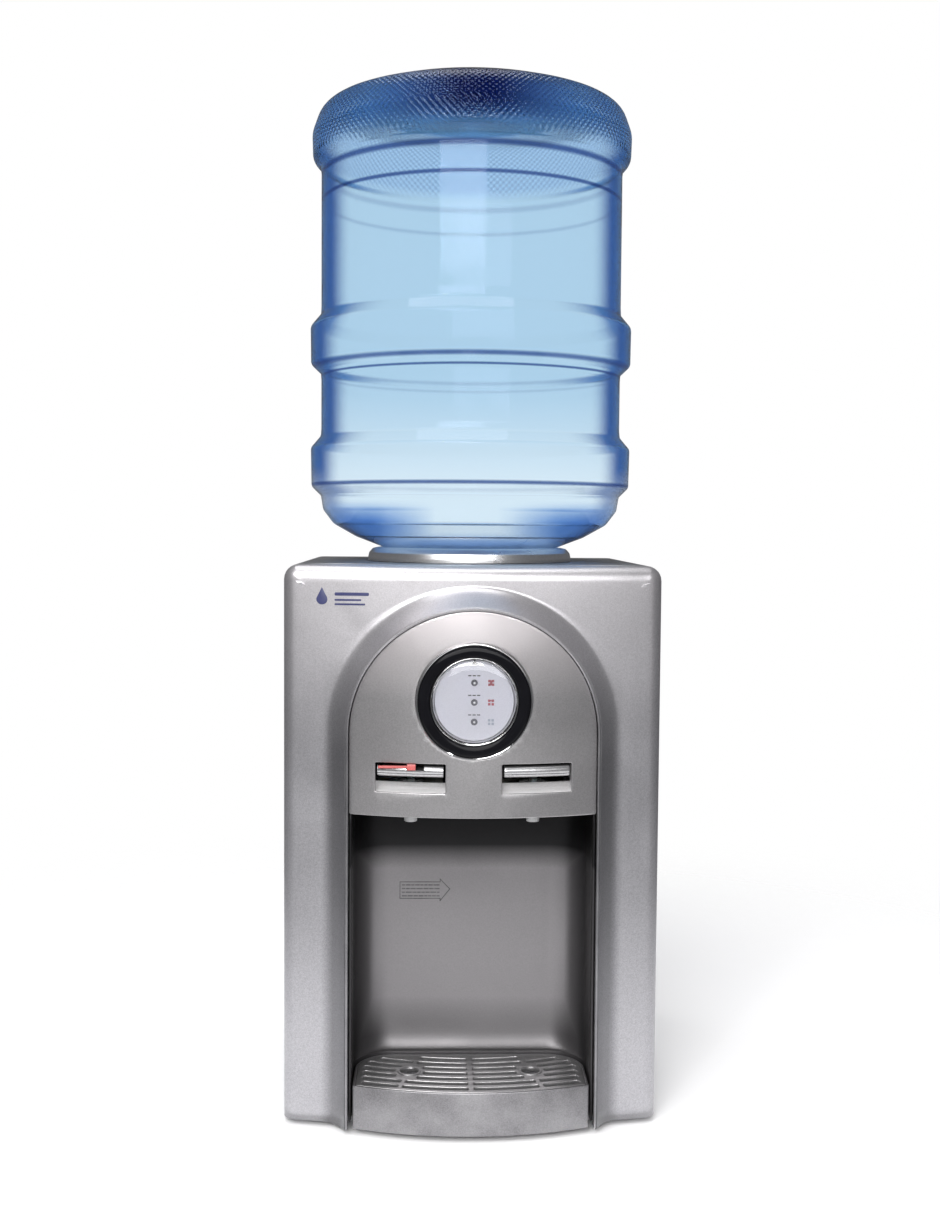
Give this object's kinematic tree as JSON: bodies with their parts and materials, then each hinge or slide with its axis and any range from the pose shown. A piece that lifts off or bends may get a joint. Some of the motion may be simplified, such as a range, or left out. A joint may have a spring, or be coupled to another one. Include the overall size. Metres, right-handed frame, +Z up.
{
  "type": "countertop water dispenser",
  "caption": "Countertop hot and cold water dispenser: arched silver cabinet with two push taps, round indicator dial, drip tray and an upturned water bottle.",
  "frame": {"origin": "middle of the footprint's bounding box, on the worktop", "axes": "+Z up the bottle, the front with the taps faces -Y, +X to the right seen from the front"},
  "size_m": [0.3, 0.33, 0.844],
  "materials": {
    "silver_paint": "satin metallic silver",
    "sheet_grey": "fine textured paint",
    "bay_grey": "satin",
    "chrome": "polished",
    "piano_black": "high gloss",
    "dial_silver": "pearl silver",
    "clear_lens": "clear",
    "lamp_glass": "smoked",
    "white_plastic": "satin",
    "dark_plastic": "fine grain",
    "lock_red": "satin",
    "bottle_blue": "clear tinted",
    "rubber": "matt",
    "steel": "brushed",
    "aluminium": "machined",
    "foam": "cellular",
    "silicone": "satin",
    "board_green": "lacquered"
  },
  "bodies": {
    "cabinet": {"front_fascia": "silver_paint", "top_cover": "silver_paint", "side_panel_left": "sheet_grey", "side_panel_right": "sheet_grey", "back_panel": "sheet_grey", "base_plate": "sheet_grey", "foot_front_left": "rubber", "foot_front_right": "rubber", "foot_rear_left": "rubber", "foot_rear_right": "rubber", "bay_liner": "bay_grey", "tap_panel": "silver_paint", "dial_trim": "chrome", "dial_bezel": "piano_black", "dial_inner_ring": "chrome", "indicator_plate": "dial_silver", "dial_lens": "clear_lens", "lamp_power": "lamp_glass", "lamp_heating": "lamp_glass", "lamp_cooling": "lamp_glass", "indicator_board": "board_green", "tap_carrier": "dark_plastic", "hot_key_pin": "steel", "hot_key_well": "silver_paint", "hot_tap_body": "white_plastic", "hot_valve_spring": "steel", "cold_key_pin": "steel", "cold_key_well": "silver_paint", "cold_tap_body": "white_plastic", "cold_valve_spring": "steel", "bottle_collar": "silver_paint", "bottle_seat": "white_plastic", "cold_tank": "steel", "cold_tank_foam": "foam", "cold_block": "aluminium", "peltier_module": "white_plastic", "heat_sink": "aluminium", "fan_frame": "dark_plastic", "hot_tank": "steel", "heater_band": "steel", "power_board": "board_green", "mains_inlet": "dark_plastic", "switch_frame": "dark_plastic", "drain_pipe": "white_plastic", "cold_hose": "silicone", "hot_hose": "silicone", "feed_hose": "silicone"},
    "bottle": {"bottle": "bottle_blue", "bottle_cap": "white_plastic"},
    "tray": {"drip_tray": "silver_paint"},
    "grill": {"drip_grill": "silver_paint"},
    "hot_key": {"hot_key": "silver_paint"},
    "cold_key": {"cold_key": "silver_paint"},
    "hot_plunger": {"hot_plunger": "silicone"},
    "cold_plunger": {"cold_plunger": "silicone"},
    "child_lock": {"child_lock": "lock_red"},
    "fan": {"fan_rotor": "dark_plastic"},
    "heating_rocker": {"heating_rocker": "dark_plastic"},
    "cooling_rocker": {"cooling_rocker": "dark_plastic"},
    "drain_cap": {"drain_cap": "white_plastic"}
  },
  "joints": [
    {"name": "bottle_lift", "type": "slide", "parent": "cabinet", "child": "bottle", "axis": [0, 0, 1], "range_m": [0, 0.1]},
    {"name": "tray_slide", "type": "slide", "parent": "cabinet", "child": "tray", "axis": [0, -1, 0], "range_m": [0, 0.1]},
    {"name": "grill_lift", "type": "slide", "parent": "tray", "child": "grill", "axis": [0, 0, 1], "range_m": [0, 0.03]},
    {"name": "hot_key_press", "type": "hinge", "parent": "cabinet", "child": "hot_key", "pos_m": [-0.049, -0.09604, 0.291], "axis": [1, 0, 0], "range_deg": [0, 9], "stiffness_Nm_per_rad": 0.6, "springref_deg": -8.59},
    {"name": "cold_key_press", "type": "hinge", "parent": "cabinet", "child": "cold_key", "pos_m": [0.049, -0.09604, 0.291], "axis": [1, 0, 0], "range_deg": [0, 9], "stiffness_Nm_per_rad": 0.6, "springref_deg": -8.59},
    {"name": "hot_plunger_slide", "type": "slide", "parent": "cabinet", "child": "hot_plunger", "axis": [0, 0, -1], "range_m": [0, 0.0033], "deforming": ["hot_valve_spring"]},
    {"name": "cold_plunger_slide", "type": "slide", "parent": "cabinet", "child": "cold_plunger", "axis": [0, 0, -1], "range_m": [0, 0.0033], "deforming": ["cold_valve_spring"]},
    {"name": "child_lock_slide", "type": "slide", "parent": "hot_key", "child": "child_lock", "axis": [1, 0, 0], "range_m": [0, 0.006]},
    {"name": "fan_spin", "type": "hinge", "parent": "cabinet", "child": "fan", "pos_m": [0, 0.1348, 0.322], "axis": [0, 1, 0], "continuous": true},
    {"name": "heating_switch", "type": "hinge", "parent": "cabinet", "child": "heating_rocker", "pos_m": [0.085, 0.154, 0.073], "axis": [-1, 0, 0], "range_deg": [0, 20]},
    {"name": "cooling_switch", "type": "hinge", "parent": "cabinet", "child": "cooling_rocker", "pos_m": [0.085, 0.154, 0.047], "axis": [-1, 0, 0], "range_deg": [0, 20]},
    {"name": "drain_cap_turn", "type": "hinge", "parent": "cabinet", "child": "drain_cap", "pos_m": [0, 0.159, 0.028], "axis": [0, 1, 0], "continuous": true}
  ],
  "couplings": [
    {"joint": "hot_plunger_slide", "follows": "hot_key_press", "m_per_rad": 0.0205},
    {"joint": "cold_plunger_slide", "follows": "cold_key_press", "m_per_rad": 0.0205}
  ]
}
